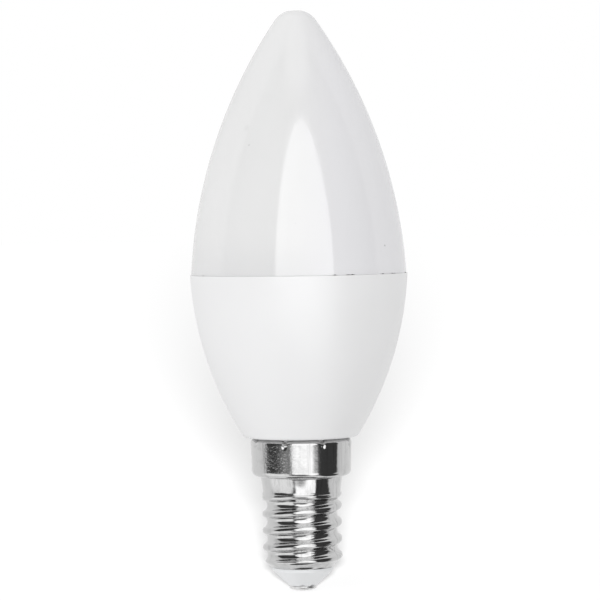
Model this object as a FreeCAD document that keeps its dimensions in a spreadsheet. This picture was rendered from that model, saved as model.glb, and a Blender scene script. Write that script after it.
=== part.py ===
import FreeCAD, Part
import math
import os
import re
from collections import namedtuple

import Sketcher
from FreeCAD import Placement, Rotation, Vector

# LED candle lamp with an E14 screw cap.
# The Z axis is the lamp's axis, cap down. The origin is the centre of the end contact's flat.
# Sizes are in millimetres.

SIZES = {
    # Whole lamp
    "diffuser_height": 44.5,
    "housing_height": 27.6,
    "cap_height": 25.9,
    "bulb_diameter": 36.7,
    "fit_clearance": 0.1,
    # Diffuser
    "flank_radius": 83.0,
    "nose_radius": 4.3,
    "diffuser_wall": 1.1,
    "rim_step": 0.18,
    "seam_groove": 0.15,
    "skirt_depth": 3.6,
    "skirt_wall": 1.1,
    "shoulder_rise": 3.0,
    "flank_draft": 0.06,
    # Housing
    "body_radius": 56.6,
    "foot_diameter": 19.9,
    "foot_rounding": 0.8,
    "foot_rise": 0.6,
    "recess_wall": 0.52,
    "ledge_width": 1.4,
    "throat_wall": 1.5,
    "throat_share": 0.2545,
    "driver_bore": 13.8,
    "neck_bore": 8.4,
    "neck_gap": 4.4,
    "neck_wall": 1.3,
    "wire_slot": 0.72,
    "spigot_wall": 1.0,
    # Screw cap
    "cap_wall": 0.3,
    "collar_diameter": 17.1,
    "collar_height": 6.5,
    "collar_taper": 0.15,
    "collar_edge": 1.0,
    "rim_curl": 0.8,
    "thread_diameter": 13.5,
    "thread_depth": 0.8,
    "thread_pitch": 2.822,
    "thread_relief": 3.6,
    "thread_turns": 5.0,
    "thread_fade": 1.0,
    "lip_height": 3.6,
    "lip_diameter": 10.3,
    "curl_height": 2.1,
    "stake_count": 8.0,
    "stake_drop": 1.3,
    "stake_depth": 0.45,
    "stake_radius": 0.7,
    # Insulator and end contact
    "insulator_top": 8.2,
    "insulator_tip": 5.0,
    "contact_flat": 1.6,
    "contact_head": 4.6,
    "contact_height": 0.8,
    "contact_edge": 0.48,
    "contact_dome": 2.76,
    "contact_stem": 1.8,
    "stem_stickout": 1.3,
    # Heat sink and light engine
    "bead_height": 0.6,
    "bead_wall": 0.8,
    "sink_plate": 1.2,
    "sink_wall": 1.0,
    "pin_slot_width": 5.0,
    "board_gap": 1.55,
    "led_board_thickness": 1.0,
    "led_inset": 3.8,
    "led_length": 3.5,
    "led_width": 2.8,
    "led_height": 0.8,
    "led_count": 8.0,
    "screw_inset": 4.3,
    "screw_diameter": 2.4,
    "screw_head": 4.2,
    "screw_head_height": 1.5,
    "screw_head_edge": 0.9,
    "screw_head_top": 3.4,
    "screw_length": 4.0,
    # Driver
    "driver_width": 13.0,
    "driver_thickness": 1.2,
    "driver_headroom": 2.3,
    "input_can": 8.0,
    "output_can": 5.0,
    "can_drop": 2.0,
    "can_headroom": 5.1,
    "can_difference": 1.0,
    "can_gap": 0.3,
    "input_can_shift": 2.7,
    "output_can_shift": 4.0,
    "inductor_diameter": 5.0,
    "inductor_height": 6.5,
    "inductor_waist": 2.4,
    "flange_height": 1.0,
    "rectifier_length": 4.7,
    "rectifier_width": 3.9,
    "rectifier_height": 2.4,
    "rectifier_gap": 2.1,
    "chip_length": 4.9,
    "chip_width": 3.9,
    "chip_height": 1.5,
    "chip_rise": 6.2,
    "block_width": 5.4,
    "block_depth": 2.4,
    "block_height": 2.5,
    "pin_width": 0.64,
    "pin_spacing": 2.54,
    "pin_stickout": 0.8,
    "fuse_diameter": 2.0,
    "fuse_length": 3.4,
    "fuse_headroom": 1.4,
    "fuse_edge": 0.3,
    "lead_diameter": 0.6,
    "lead_overlap": 3.0,
    "lead_gap": 0.4,
    "wire_drop": 1.0,
    "wire_bend": 1.2,
    "wire_stop": 1.8,
}

# Sizes that follow from the driving ones
LINKS = {
    "seam_height": "cap_height + housing_height",
    "overall_length": "seam_height + diffuser_height",
    "rim_radius": "bulb_diameter / 2",
    "diffuser_rim": "rim_radius - rim_step",
    "foot_radius": "foot_diameter / 2",
    "foot_top": "foot_base + foot_rise",
    "body_chord": "sqrt((rim_radius - foot_radius)^2 + (seam_height - foot_top)^2)",
    "body_depth": "sqrt(body_radius^2 - body_chord^2 / 4) / body_chord",
    "body_centre": "(foot_radius + rim_radius) / 2 - (seam_height - foot_top) * body_depth",
    "body_middle": "(foot_top + seam_height) / 2 + (rim_radius - foot_radius) * body_depth",
    "recess_radius": "body_centre + sqrt(body_radius^2 - (plate_base - body_middle)^2) - recess_wall",
    "skirt_radius": "recess_radius - fit_clearance",
    "skirt_bore": "skirt_radius - skirt_wall",
    "skirt_base": "seam_height - skirt_depth",
    "ledge_radius": "recess_radius - ledge_width",
    "plate_top": "skirt_base - bead_height",
    "plate_base": "plate_top - sink_plate",
    "foot_base": "cap_height + fit_clearance",
    "sink_radius": "ledge_radius - fit_clearance",
    "throat_height": "foot_base + (seam_height - foot_base) * throat_share",
    "throat_radius": "body_centre + sqrt(body_radius^2 - (throat_height - body_middle)^2) - throat_wall",
    "sink_throat": "throat_radius - fit_clearance",
    "thread_crest": "thread_diameter / 2",
    "thread_root": "thread_crest - thread_depth",
    "cap_bore": "thread_root - cap_wall",
    "neck_inside": "thread_crest - cap_wall",
    "collar_base": "cap_height - collar_height",
    "collar_floor": "collar_base + cap_wall",
    "collar_top_radius": "collar_diameter / 2",
    "collar_low_radius": "collar_top_radius - collar_taper",
    "curl_base": "cap_height - rim_curl",
    "inner_curl": "rim_curl - cap_wall",
    "lip_radius": "lip_diameter / 2",
    "lip_bore": "lip_radius - cap_wall",
    "curl_top": "lip_height + curl_height",
    "bore_foot": "curl_top - curl_height * thread_depth / (thread_crest - lip_radius)",
    "thread_top": "collar_base - thread_relief",
    "bore_step": "thread_top + thread_pitch * thread_fade * 0.85",
    "spigot_radius": "collar_low_radius - cap_wall - fit_clearance",
    "spigot_base": "collar_floor + fit_clearance",
    "spigot_floor": "spigot_base + spigot_wall",
    "neck_radius": "neck_bore / 2 + neck_wall",
    "neck_base": "insulator_top + neck_gap",
    "stake_height": "cap_height - stake_drop",
    "board_top": "plate_top + led_board_thickness",
    "led_board_radius": "skirt_bore - board_gap",
    "led_ring_radius": "led_board_radius - led_inset",
    "screw_shift": "led_ring_radius - screw_inset",
    "driver_face": "driver_thickness / 2",
    "driver_top": "plate_base - driver_headroom",
    "block_centre": "driver_face + block_depth / 2",
    "lead_radius": "lead_diameter / 2",
    "contact_length": "insulator_top + stem_stickout",
    "fuse_offset": "driver_face + lead_radius",
    "fuse_base": "spigot_floor - fuse_headroom - fuse_length",
    "can_base": "throat_height - can_drop",
    "input_can_height": "plate_base - can_headroom - can_base",
    "output_can_height": "input_can_height - can_difference",
    "inductor_base": "can_base - can_gap - inductor_height",
    "chip_base": "spigot_floor + chip_rise",
    "rectifier_base": "chip_base + chip_length + rectifier_gap",
}

PLANES = {"floor": "XY_Plane", "front": "XZ_Plane", "side": "YZ_Plane"}
FULL_TURN = 360
STAKE_POINT = 0.15
LEAST_CHANGE = 1e-6
PIPE_SLACK = 0.02

# Half of the thread groove's outline: how deep each corner lies, as a share of the depth, and how far
# from the middle of the groove, as a share of the pitch
GROOVE_FACETS = ((-0.4, 0.63), (0.16, 0.34), (0.84, 0.16), (1.0, 0.07))

# A capacitor can's crimp and rounded edge, as shares of its diameter
CRIMP_BASE = 0.2
CRIMP_HALF = 0.06
CRIMP_DEPTH = 0.05
CAN_EDGE = 0.06

# A corner of an outline. bend is the radius of the edge that arrives there: positive bulges to the
# right of the way it is drawn, negative to the left. A smooth corner is where two curves run into
# each other, so the place given for it is only where the solver starts.
Corner = namedtuple("Corner", "across up bend smooth", defaults=(None, False))

doc = FreeCAD.newDocument("candle_lamp")
sheet = doc.addObject("Spreadsheet::Sheet", "Sizes")
for row, (alias, number) in enumerate(SIZES.items(), start=1):
    sheet.set(f"A{row}", alias)
    sheet.set(f"B{row}", str(number))
    sheet.setAlias(f"B{row}", alias)
doc.recompute()
pieces = []


def formula(text):
    """Write an expression of size names as one of spreadsheet cells."""

    def cell(match):
        word = match.group(0)
        if word in LINKS:
            return f"({formula(LINKS[word])})"
        return f"Sizes.{word}" if word in SIZES else word

    return re.sub(r"[a-z_]+", cell, text)


def value(text):
    """The number that an expression of size names has now."""
    return float(sheet.evalExpression(formula(text)))


def new_body(name):
    """An empty body that becomes one piece of the lamp."""
    body = doc.addObject("PartDesign::Body", name)
    body.Label = name
    pieces.append(body)
    return body


def origin_part(body, role):
    """A plane or axis of the body's own origin."""
    return next(item for item in body.Origin.OriginFeatures if item.Role == role)


def new_sketch(body, name, plane, lift="0"):
    """An empty sketch on a plane of the body's origin, raised along its normal."""
    sketch = body.newObject("Sketcher::SketchObject", name)
    sketch.AttachmentSupport = [(origin_part(body, PLANES[plane]), "")]
    sketch.MapMode = "FlatFace"
    if lift != "0":
        sketch.setExpression(".AttachmentOffset.Base.z", formula(lift))
    return sketch


def bound(sketch, kind, *where, size):
    """Add a constraint whose value is an expression of size names."""
    index = sketch.addConstraint(Sketcher.Constraint(kind, *where, value(size)))
    sketch.setExpression(f"Constraints[{index}]", formula(size))


def pinned(sketch, edge, end, across, up):
    """Hold one end of an edge at its place from the sketch's origin."""
    if across == "0":
        sketch.addConstraint(Sketcher.Constraint("PointOnObject", edge, end, -2))
    else:
        bound(sketch, "DistanceX", -1, 1, edge, end, size=across)
    if up == "0":
        sketch.addConstraint(Sketcher.Constraint("PointOnObject", edge, end, -1))
    else:
        bound(sketch, "DistanceY", -1, 1, edge, end, size=up)


def arc_between(start, end, bend):
    """The arc from start to end that bulges right for a positive radius and left for a negative one."""
    chord = end - start
    left = Vector(-chord.y, chord.x, 0).normalize()
    side = 1 if bend > 0 else -1
    depth = math.sqrt(max(bend * bend - chord.Length**2 / 4, 0))
    centre = (start + end) / 2 + left * depth * side
    first, last = (start, end) if bend > 0 else (end, start)
    turn = [math.atan2(p.y - centre.y, p.x - centre.x) for p in (first, last)]
    if turn[1] < turn[0]:
        turn[1] += 2 * math.pi
    return Part.ArcOfCircle(Part.Circle(centre, Vector(0, 0, 1), abs(bend)), *turn)


def draw(sketch, corners, closed=True):
    """Draw an outline or a path through the corners, every size bound to the sheet."""
    corners = [Corner(*corner) for corner in corners]
    spots = [Vector(value(c.across), value(c.up), 0) for c in corners]
    count = len(corners)
    ends = []
    for arrival in range(0 if closed else 1, count):
        corner, start, end = corners[arrival], spots[arrival - 1], spots[arrival]
        if corner.bend is None:
            edge = sketch.addGeometry(Part.LineSegment(start, end))
            ends.append((edge, 1, 2))
            continue
        edge = sketch.addGeometry(arc_between(start, end, value(corner.bend)))
        ends.append((edge, 1, 2) if value(corner.bend) > 0 else (edge, 2, 1))
    for place, corner in enumerate(corners):
        arriving = ends[place] if closed else ends[place - 1]
        leaving = ends[(place + 1) % count] if closed else (ends[place] if place < count - 1 else None)
        if not closed and place == 0:
            pinned(sketch, leaving[0], leaving[1], corner.across, corner.up)
            continue
        if corner.bend is not None:
            bound(sketch, "Radius", arriving[0], size=corner.bend.lstrip("-"))
        if corner.smooth:
            joint = (arriving[0], arriving[2], leaving[0], leaving[1])
            sketch.addConstraint(Sketcher.Constraint("Tangent", *joint))
            continue
        if leaving is not None:
            joint = (arriving[0], arriving[2], leaving[0], leaving[1])
            sketch.addConstraint(Sketcher.Constraint("Coincident", *joint))
        pinned(sketch, arriving[0], arriving[2], corner.across, corner.up)
    return ends


def rectangle(left, right, front, back):
    """The corners of a rectangle, as outline corners."""
    return [(left, front), (right, front), (right, back), (left, back)]


def centred(width, depth, middle="0"):
    """A rectangle centred across, with its middle at a given depth."""
    half, deep = f"({width}) / 2", f"({depth}) / 2"
    return rectangle(f"-{half}", half, f"{middle} - {deep}", f"{middle} + {deep}")


def feature(body, kind, name, sketch, **settings):
    """Add a feature made from a sketch. A setting that is text is an expression of size names."""
    made = body.newObject(f"PartDesign::{kind}", name)
    made.Profile = sketch
    for setting, amount in settings.items():
        if isinstance(amount, str):
            made.setExpression(setting, formula(amount))
        else:
            setattr(made, setting, amount)
    return made


def turned(name, corners, finish=None):
    """A body turned about its own Z axis from an outline of radius and height."""
    body = new_body(name)
    sketch = new_sketch(body, f"{name}_outline", "front")
    ends = draw(sketch, corners)
    if finish:
        finish(sketch, ends)
    feature(body, "Revolution", f"{name}_turned", sketch, ReferenceAxis=(sketch, ["V_Axis"]), Angle=FULL_TURN)
    doc.recompute()
    return body


def padded(body, name, corners, base, height):
    """Add an upright block on a floor outline."""
    sketch = new_sketch(body, f"{name}_outline", "floor", base)
    draw(sketch, corners)
    return feature(body, "Pad", f"{name}_pad", sketch, Length=height)


def cut_down(body, name, corners, top, depth):
    """Cut a floor outline downwards from a height."""
    sketch = new_sketch(body, f"{name}_outline", "floor", top)
    draw(sketch, corners)
    return checked_cut(body, feature(body, "Pocket", f"{name}_cut", sketch, Length=depth))


def drilled(body, name, centres, radius, top, depth):
    """Drill round holes downwards from a height."""
    sketch = new_sketch(body, f"{name}_circles", "floor", top)
    for across, deep in centres:
        centre = Vector(value(across), value(deep), 0)
        circle = sketch.addGeometry(Part.Circle(centre, Vector(0, 0, 1), value(radius)))
        pinned(sketch, circle, 3, across, deep)
        bound(sketch, "Radius", circle, size=radius)
    return checked_cut(body, feature(body, "Pocket", f"{name}_cut", sketch, Length=depth))


def checked_cut(body, cut):
    """Make sure that a cut took material away."""
    before = cut.BaseFeature.Shape.Volume if cut.BaseFeature else 0
    doc.recompute()
    if cut.Shape.Volume >= before:
        raise RuntimeError(f"{body.Label}: {cut.Label} removes nothing")
    return cut


def placed(body, across="0", deep="0", up="0", turn=None):
    """Set a body at its place in the lamp, turned about the vertical by an angle in degrees."""
    body.Placement = Placement(Vector(), Rotation(Vector(0, 0, 1), turn or 0))
    for axis, amount in (("x", across), ("y", deep), ("z", up)):
        if amount != "0":
            body.setExpression(f"Placement.Base.{axis}", formula(amount))
    return body


def stakes(body, kind, name, reach, depth, radius):
    """A ring of cones that point at the lamp's axis: dents where they cut, bumps where they add."""
    angle = FULL_TURN / value("stake_count") / 2
    outward = Vector(math.cos(math.radians(angle)), math.sin(math.radians(angle)), 0)
    before = body.Tip.Shape.Volume
    cone = body.newObject(f"PartDesign::{kind}Cone", f"{name}_cone")
    cone.Placement = Placement(outward * value(reach), Rotation(Vector(0, 0, 1), -outward))
    cone.setExpression("Placement.Base.x", f"({formula(reach)}) * cos({angle})")
    cone.setExpression("Placement.Base.y", f"({formula(reach)}) * sin({angle})")
    cone.setExpression("Placement.Base.z", formula("stake_height"))
    cone.setExpression("Radius1", formula(radius))
    cone.setExpression("Radius2", formula(f"({radius}) * {STAKE_POINT}"))
    cone.setExpression("Height", formula(depth))
    doc.recompute()
    ring = body.newObject("PartDesign::PolarPattern", f"{name}_ring")
    ring.Originals = [cone]
    ring.Axis = (origin_part(body, "Z_Axis"), [""])
    ring.Angle = FULL_TURN
    ring.setExpression("Occurrences", formula("stake_count"))
    body.Tip = ring
    doc.recompute()
    if abs(ring.Shape.Volume - before) < LEAST_CHANGE:
        raise RuntimeError(f"{body.Label}: {name} changes nothing")
    return ring


def tangent_point(rim, apex, flank, nose):
    """Where a flank arc through the rim runs into a nose arc that ends on the axis."""
    centre = Vector(0, apex - nose, 0)
    line = centre - rim
    along = (flank**2 - (flank - nose) ** 2 + line.Length**2) / (2 * line.Length)
    unit = line.normalize()
    side = Vector(-unit.y, unit.x, 0) * math.sqrt(flank**2 - along**2)
    pivot = rim + unit * along + side
    return pivot + (centre - pivot).normalize() * flank


def candle_curve(rim, foot, apex, flank, nose):
    """The two arcs of the candle shape, from the rim up to the tip, as two corners."""
    start = Vector(value(rim), value(foot), 0)
    meet = tangent_point(start, value(apex), value(flank), value(nose))
    return (str(meet.x), str(meet.y), flank, True), ("0", apex, nose)


def build_diffuser():
    """Opal cover: a skirt that plugs into the housing, and a thin candle-shaped wall."""
    outer = candle_curve("diffuser_rim", "seam_height + seam_groove", "overall_length", "flank_radius",
                         "nose_radius")
    shoulder = ("diffuser_rim - diffuser_wall - shoulder_rise * flank_draft", "seam_height + shoulder_rise")
    inner = candle_curve(*shoulder, "overall_length - diffuser_wall", "flank_radius - diffuser_wall",
                         "nose_radius - diffuser_wall")
    inner_dome = (*inner[0][:2], "-(nose_radius - diffuser_wall)", True)
    corners = [
        ("skirt_bore", "skirt_base"),
        ("skirt_radius", "skirt_base"),
        ("skirt_radius", "seam_height + seam_groove"),
        ("diffuser_rim", "seam_height + seam_groove"),
        outer[0],
        outer[1],
        ("0", "overall_length - diffuser_wall"),
        inner_dome,
        (*shoulder, "-(flank_radius - diffuser_wall)"),
        ("skirt_bore", "seam_height"),
    ]

    def domes(sketch, ends):
        """Both noses are domes about the axis."""
        for dome in (outer[1], inner_dome):
            edge = ends[corners.index(dome)][0]
            sketch.addConstraint(Sketcher.Constraint("PointOnObject", edge, 3, -2))

    return turned("diffuser", corners, domes)


def build_housing():
    """Moulded body: curved wall, recess for the diffuser, and a stepped spigot for the cap."""
    corners = [
        ("neck_bore / 2", "neck_base"),
        ("neck_radius", "neck_base"),
        ("neck_radius", "spigot_base"),
        ("spigot_radius - collar_edge + cap_wall", "spigot_base"),
        ("spigot_radius", "spigot_base + collar_edge - cap_wall"),
        ("spigot_radius", "curl_base - fit_clearance"),
        ("spigot_radius - inner_curl", "curl_base + inner_curl - cap_wall"),
        ("spigot_radius - inner_curl", "foot_base"),
        ("foot_radius - foot_rounding", "foot_base"),
        ("foot_radius", "foot_top", "foot_rounding"),
        ("rim_radius", "seam_height", "body_radius"),
        ("recess_radius", "seam_height"),
        ("recess_radius", "plate_base"),
        ("ledge_radius", "plate_base"),
        ("throat_radius", "throat_height"),
        ("driver_bore / 2", "foot_base"),
        ("driver_bore / 2", "spigot_floor"),
        ("neck_bore / 2", "spigot_floor"),
    ]
    body = turned("housing", corners)
    stakes(body, "Subtractive", "housing_stakes", "collar_top_radius + fit_clearance",
           "stake_depth + cap_wall + fit_clearance * 2", "stake_radius + cap_wall + fit_clearance")
    groove = "neck_radius - lead_diameter - fit_clearance"
    cut_down(body, "wire_groove",
             rectangle("-wire_slot / 2", "wire_slot / 2", groove, "neck_radius + cap_wall"),
             "spigot_base", "spigot_base - neck_base")
    return body


def thread_groove(body, name, height, turn):
    """The rolled groove between two crests: three straight facets a side stand for its two curves."""
    sketch = new_sketch(body, name, "front")
    sketch.AttachmentOffset = Placement(Vector(), Rotation(Vector(0, 1, 0), turn))
    facets = [(f"thread_crest - thread_depth * ({deep})", f"thread_pitch * {reach}")
              for deep, reach in GROOVE_FACETS]
    below = [(across, f"{height} - {reach}") for across, reach in facets]
    above = [(across, f"{height} + {reach}") for across, reach in reversed(facets)]
    draw(sketch, below + above)
    return sketch


def build_screw_shell():
    """Rolled cap: one thin sheet with a curled rim, staked collar, neck, thread and turned-in lip."""
    corners = [
        ("lip_bore", "lip_height"),
        ("lip_radius", "lip_height"),
        ("thread_crest", "curl_top"),
        ("thread_crest", "collar_base"),
        ("collar_low_radius - collar_edge", "collar_base"),
        ("collar_low_radius", "collar_base + collar_edge", "collar_edge"),
        ("collar_top_radius", "curl_base"),
        ("collar_top_radius - rim_curl", "cap_height", "rim_curl"),
        ("collar_top_radius - rim_curl", "cap_height - cap_wall"),
        ("collar_top_radius - cap_wall", "curl_base"),
        ("collar_low_radius - cap_wall", "collar_base + collar_edge"),
        ("collar_low_radius - collar_edge", "collar_floor"),
        ("neck_inside", "collar_floor"),
        ("neck_inside", "bore_step"),
        ("cap_bore", "bore_step - thread_depth"),
        ("cap_bore", "bore_foot"),
        ("lip_bore", "lip_height + cap_wall"),
    ]
    body = turned("screw_shell", corners)
    start = "(thread_top - thread_pitch * thread_turns)"
    full_turns = "(thread_turns - thread_fade / 3)"
    plain = body.Tip.Shape.Volume
    main = feature(body, "SubtractiveHelix", "thread", thread_groove(body, "thread_section", start, 0),
                   ReferenceAxis=(origin_part(body, "Z_Axis"), [""]), Mode=0, Pitch="thread_pitch",
                   Height=f"thread_pitch * {full_turns}")
    doc.recompute()
    turn = FULL_TURN * value(full_turns)
    fade_start = f"({start} + thread_pitch * {full_turns})"
    fade = feature(body, "SubtractiveHelix", "thread_fade",
                   thread_groove(body, "fade_section", fade_start, turn),
                   ReferenceAxis=(origin_part(body, "Z_Axis"), [""]), Mode=3,
                   Height="thread_pitch * thread_fade", Turns="thread_fade",
                   Growth="1.05 * thread_depth / thread_fade")
    doc.recompute()
    if not fade.Shape.Volume < main.Shape.Volume < plain:
        raise RuntimeError("the thread cuts nothing")
    stakes(body, "Additive", "stake_bumps", "collar_top_radius - cap_wall * 0.5",
           "stake_depth + cap_wall * 0.5", "stake_radius + cap_wall * 0.5")
    stakes(body, "Subtractive", "stake_dents", "collar_top_radius + cap_wall * 0.5",
           "stake_depth + cap_wall * 0.5", "stake_radius + cap_wall * 0.5")
    return body


def build_cap_insulator():
    """Moulded cone that the cap's lip grips, with a bore for the end contact."""
    gap = "fit_clearance"
    corners = [
        (f"contact_stem / 2 + {gap} / 2", "contact_height"),
        ("insulator_tip / 2", "contact_height"),
        ("lip_radius", f"lip_height - {gap}"),
        (f"lip_bore - {gap}", f"lip_height - {gap}"),
        (f"lip_bore - {gap}", f"lip_height + cap_wall + {gap}"),
        (f"cap_bore - {gap}", f"bore_foot + {gap}"),
        (f"cap_bore - {gap}", "insulator_top"),
        (f"contact_stem / 2 + {gap} / 2", "insulator_top"),
    ]
    return turned("cap_insulator", corners)


def build_contact_pin():
    """End contact: a nail with a shallow domed head, flat at the bottom."""
    corners = [
        ("0", "0"),
        ("contact_flat / 2", "0"),
        ("contact_head / 2", "contact_edge", "contact_dome"),
        ("contact_head / 2", "contact_height"),
        ("contact_stem / 2", "contact_height"),
        ("contact_stem / 2", "contact_length"),
        ("0", "contact_length"),
    ]
    return turned("contact_pin", corners)


def build_adhesive():
    """Bead of silicone under the diffuser's skirt."""
    corners = rectangle("recess_radius - fit_clearance - bead_wall", "recess_radius - fit_clearance",
                        "plate_top", "skirt_base")
    return turned("diffuser_adhesive", corners)


def build_heat_sink():
    """Pressed aluminium cup, plate up, that sits on the housing's ledge."""
    corners = [
        ("sink_throat - sink_wall", "throat_height"),
        ("sink_throat", "throat_height"),
        ("sink_radius", "plate_base"),
        ("recess_radius - fit_clearance", "plate_base"),
        ("recess_radius - fit_clearance", "plate_top"),
        ("0", "plate_top"),
        ("0", "plate_base"),
        ("sink_radius - sink_wall", "plate_base"),
    ]
    body = turned("heat_sink", corners)
    cut_down(body, "pin_slot", centred("pin_slot_width", "block_depth", "block_centre"),
             "plate_top", "sink_plate")
    drilled(body, "sink_screw_holes", screw_places(), "screw_diameter / 2", "plate_top", "sink_plate")
    return body


def screw_places():
    """Where the two screws stand, each side of the axis."""
    return [("screw_shift", "0"), ("-screw_shift", "0")]


def build_led_board():
    """Aluminium-core disc with a slot for the header pins and two screw holes."""
    body = new_body("led_board")
    sketch = new_sketch(body, "led_board_circle", "floor", "plate_top")
    disc = sketch.addGeometry(Part.Circle(Vector(), Vector(0, 0, 1), value("led_board_radius")))
    sketch.addConstraint(Sketcher.Constraint("Coincident", disc, 3, -1, 1))
    bound(sketch, "Radius", disc, size="led_board_radius")
    feature(body, "Pad", "led_board_pad", sketch, Length="led_board_thickness")
    doc.recompute()
    cut_down(body, "board_pin_slot", centred("pin_spacing + pin_width * 2", "pin_width * 2", "block_centre"),
             "board_top", "led_board_thickness")
    drilled(body, "board_screw_holes", screw_places(), "screw_diameter / 2 + fit_clearance",
            "board_top", "led_board_thickness")
    return body


def build_leds():
    """Ring of light-emitting packages on the disc."""
    count = int(value("led_count"))
    for number in range(count):
        body = new_body(f"led_{number + 1}")
        padded(body, body.Name, centred("led_width", "led_length"), "0", "led_height")
        angle = FULL_TURN / count * (number + 0.5)
        placed(body, f"led_ring_radius * sin({angle})", f"led_ring_radius * cos({angle})", "board_top",
               -angle)


def build_screws():
    """Two round-headed screws that clamp the disc to the cup."""
    for number, (across, deep) in enumerate(screw_places(), start=1):
        corners = [
            ("0", "-screw_length"),
            ("screw_diameter / 2", "-screw_length"),
            ("screw_diameter / 2", "0"),
            ("screw_head / 2", "0"),
            ("screw_head / 2", "screw_head_edge"),
            ("screw_head_top / 2", "screw_head_height"),
            ("0", "screw_head_height"),
        ]
        placed(turned(f"led_board_screw_{number}", corners), across, deep, "board_top")


def build_driver_board():
    """Upright printed board that stands on the floor of the spigot."""
    body = new_body("driver_board")
    padded(body, "driver_board", centred("driver_width", "driver_thickness"), "spigot_floor",
           "driver_top - spigot_floor")
    return body


def build_link():
    """Header on the board's top edge and the pins that reach the disc."""
    block = new_body("link_block")
    padded(block, "link_block", centred("block_width", "block_depth", "block_centre"),
           "driver_top - block_height", "block_height")
    for number, side in ((1, "-"), (2, "")):
        pin = new_body(f"link_pin_{number}")
        padded(pin, pin.Name, centred("pin_width", "pin_width"), "0",
               "board_top + pin_stickout - driver_top")
        placed(pin, f"{side}pin_spacing / 2", "block_centre", "driver_top")


def build_chips():
    """Rectifier and driver chip on the board's front face."""
    for name, part in (("bridge_rectifier", "rectifier"), ("driver_chip", "chip")):
        body = new_body(name)
        padded(body, name, rectangle(f"-{part}_width / 2", f"{part}_width / 2",
                                     f"-driver_face - {part}_height", "-driver_face"),
               f"{part}_base", f"{part}_length")


def build_can(name, part, across):
    """Electrolytic capacitor lying along the board: a can with a crimp near its base."""
    radius = f"{part} / 2"
    corners = [
        ("0", "0"),
        (radius, "0"),
        (radius, f"{part} * {CRIMP_BASE}"),
        (f"{part} * {0.5 - CRIMP_DEPTH}", f"{part} * {CRIMP_BASE + CRIMP_HALF}"),
        (radius, f"{part} * {CRIMP_BASE + 2 * CRIMP_HALF}"),
        (radius, f"{part}_height - {part} * {CAN_EDGE}"),
        (f"{part} * {0.5 - CAN_EDGE}", f"{part}_height"),
        ("0", f"{part}_height"),
    ]
    placed(turned(name, corners), across, f"driver_face + {radius}", "can_base")


def build_inductor():
    """Drum core with its winding between the flanges."""
    radius, waist = "inductor_diameter / 2", "inductor_waist / 2"
    core = [
        ("0", "0"),
        (radius, "0"),
        (radius, "flange_height"),
        (waist, "flange_height"),
        (waist, "inductor_height - flange_height"),
        (radius, "inductor_height - flange_height"),
        (radius, "inductor_height"),
        ("0", "inductor_height"),
    ]
    placed(turned("inductor_core", core), "0", f"driver_face + {radius}", "inductor_base")
    winding = rectangle(waist, f"{radius} - fit_clearance * 2", "flange_height",
                        "inductor_height - flange_height")
    placed(turned("inductor_winding", winding), "0", f"driver_face + {radius}", "inductor_base")


def wire_run(body, name, corners):
    """A round wire along a path in the side plane that starts upright."""
    path = new_sketch(body, f"{name}_path", "side")
    draw(path, corners, closed=False)
    start = corners[0]
    section = new_sketch(body, f"{name}_section", "floor", start[1])
    circle = section.addGeometry(Part.Circle(Vector(0, value(start[0]), 0), Vector(0, 0, 1),
                                             value("lead_radius")))
    pinned(section, circle, 3, "0", start[0])
    bound(section, "Radius", circle, size="lead_radius")
    doc.recompute()
    pipe = body.newObject("PartDesign::AdditivePipe", f"{name}_wire")
    pipe.Profile = section
    pipe.Spine = (path, [f"Edge{number + 1}" for number in range(len(corners) - 1)])
    doc.recompute()
    expected = math.pi * value("lead_radius") ** 2 * path.Shape.Length
    if abs(pipe.AddSubShape.Volume / expected - 1) > PIPE_SLACK:
        raise RuntimeError(f"{name}: the wire's volume is wrong")
    return pipe


def build_fuse_resistor():
    """Fusible resistor upright in the neck, its top lead soldered along the board's front face."""
    radius = "fuse_diameter / 2"
    corners = [
        ("0", "0"),
        (f"{radius} - fuse_edge", "0"),
        (radius, "fuse_edge"),
        (radius, "fuse_length - fuse_edge"),
        (f"{radius} - fuse_edge", "fuse_length"),
        ("lead_radius", "fuse_length"),
        ("lead_radius", "spigot_floor + lead_overlap - fuse_base"),
        ("0", "spigot_floor + lead_overlap - fuse_base"),
    ]
    placed(turned("fuse_resistor", corners), "0", "-fuse_offset", "fuse_base")


def build_live_wire():
    """Lead from the fusible resistor that bends over to the end contact."""
    body = new_body("live_wire")
    angle = "acos(1 - fuse_offset / (2 * wire_bend))"
    drop = f"wire_bend * sin({angle})"
    bend_foot = f"(fuse_base + contact_length) / 2 - {drop}"
    wire_run(body, "live", [
        ("-fuse_offset", "fuse_base"),
        ("-fuse_offset", f"{bend_foot} + 2 * {drop}"),
        ("-fuse_offset / 2", f"{bend_foot} + {drop}", "wire_bend"),
        ("0", bend_foot, "-wire_bend"),
        ("0", "contact_length"),
    ])
    return body


def build_neutral_wire():
    """Wire from the board that turns under the housing's neck and lies against the screw shell."""
    body = new_body("neutral_wire")
    inner, outer = "fuse_offset", "neck_radius - lead_radius - fit_clearance / 2"
    low = "neck_base - wire_drop"
    wire_run(body, "neutral", [
        (inner, "inductor_base - lead_gap"),
        (inner, f"{low} + wire_bend"),
        (f"{inner} + wire_bend", low, "wire_bend"),
        (f"{outer} - wire_bend", low),
        (outer, f"{low} + wire_bend", "wire_bend"),
        (outer, "spigot_base - wire_stop"),
    ])
    return body


def check(objects):
    """Stop if any object failed or any piece has no sound solid."""
    for item in objects:
        if {"Invalid", "Error"} & set(item.State):
            raise RuntimeError(f"{item.Label}: {item.State}")
    for piece in pieces:
        shape = piece.Shape
        if shape.isNull() or not shape.isValid() or len(shape.Solids) != 1:
            raise RuntimeError(f"{piece.Label}: no sound solid")


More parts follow.
